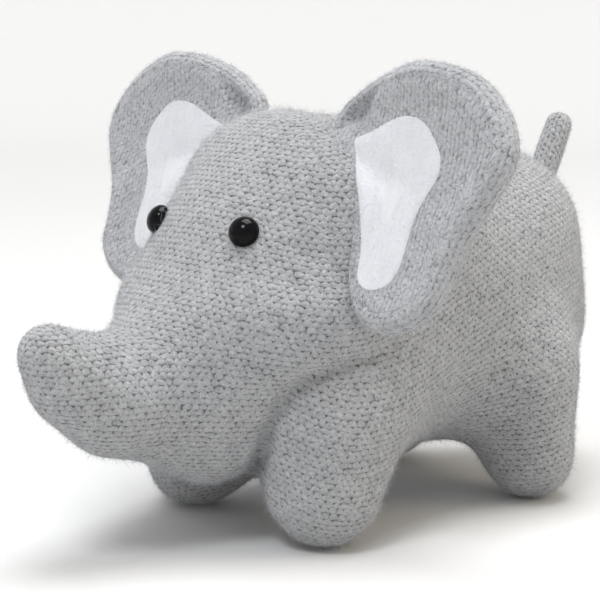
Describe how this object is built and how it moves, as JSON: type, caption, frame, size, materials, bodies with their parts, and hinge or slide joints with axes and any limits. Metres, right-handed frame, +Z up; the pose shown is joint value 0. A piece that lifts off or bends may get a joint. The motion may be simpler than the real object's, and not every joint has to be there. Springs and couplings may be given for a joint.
{
  "type": "stuffed elephant",
  "caption": "Small standing plush elephant with a knitted marl cover, padded ears with fleece insides, button eyes, a raised trunk and a short upright tail.",
  "frame": {"origin": "on the floor, in the middle of the toy's length and width", "axes": "+Z up; the elephant faces -Y, so +Y runs from trunk to tail; its own left side is +X"},
  "size_m": [0.2004, 0.2452, 0.1555],
  "materials": {
    "grey_knit": "brushed machine knit in grey marl yarn, purl side out, with a soft halo of fibres",
    "white_fleece": "short-pile white fleece",
    "stuffing": "polyester fibre filling, out of sight",
    "eye_plastic": "black gloss moulded dome",
    "washer_plastic": "matt moulded plastic, out of sight"
  },
  "bodies": {
    "body": {"body_cover_left": "grey_knit", "body_cover_right": "grey_knit", "body_stuffing": "stuffing", "head_cover": "grey_knit", "head_stuffing": "stuffing", "front_leg_left_cover": "grey_knit", "rear_leg_left_cover": "grey_knit", "front_leg_right_cover": "grey_knit", "rear_leg_right_cover": "grey_knit", "front_leg_left_stuffing": "stuffing", "rear_leg_left_stuffing": "stuffing", "front_leg_right_stuffing": "stuffing", "rear_leg_right_stuffing": "stuffing", "eye_left": "eye_plastic", "eye_right": "eye_plastic", "eye_washer_left": "washer_plastic", "eye_washer_right": "washer_plastic"},
    "ear_left": {"ear_front_left": "grey_knit", "ear_back_left": "grey_knit", "ear_padding_left": "stuffing", "inner_ear_patch_left": "white_fleece"},
    "ear_right": {"ear_front_right": "grey_knit", "ear_back_right": "grey_knit", "ear_padding_right": "stuffing", "inner_ear_patch_right": "white_fleece"},
    "tail": {"tail_cover": "grey_knit", "tail_stuffing": "stuffing"}
  },
  "joints": [
    {"name": "ear_left_flap", "type": "hinge", "parent": "body", "child": "ear_left", "pos_m": [0.028, -0.0155, 0.135], "axis": [0.3695, -0.2772, -0.8869], "range_deg": [-40, 45], "stiffness_Nm_per_rad": 0.05},
    {"name": "ear_right_flap", "type": "hinge", "parent": "body", "child": "ear_right", "pos_m": [-0.028, -0.0155, 0.135], "axis": [0.3695, 0.2772, 0.8869], "range_deg": [-40, 45], "stiffness_Nm_per_rad": 0.05},
    {"name": "tail_bend", "type": "hinge", "parent": "body", "child": "tail", "pos_m": [0, 0.107, 0.1059], "axis": [1, 0, 0], "range_deg": [-30, 30], "stiffness_Nm_per_rad": 0.006}
  ]
}
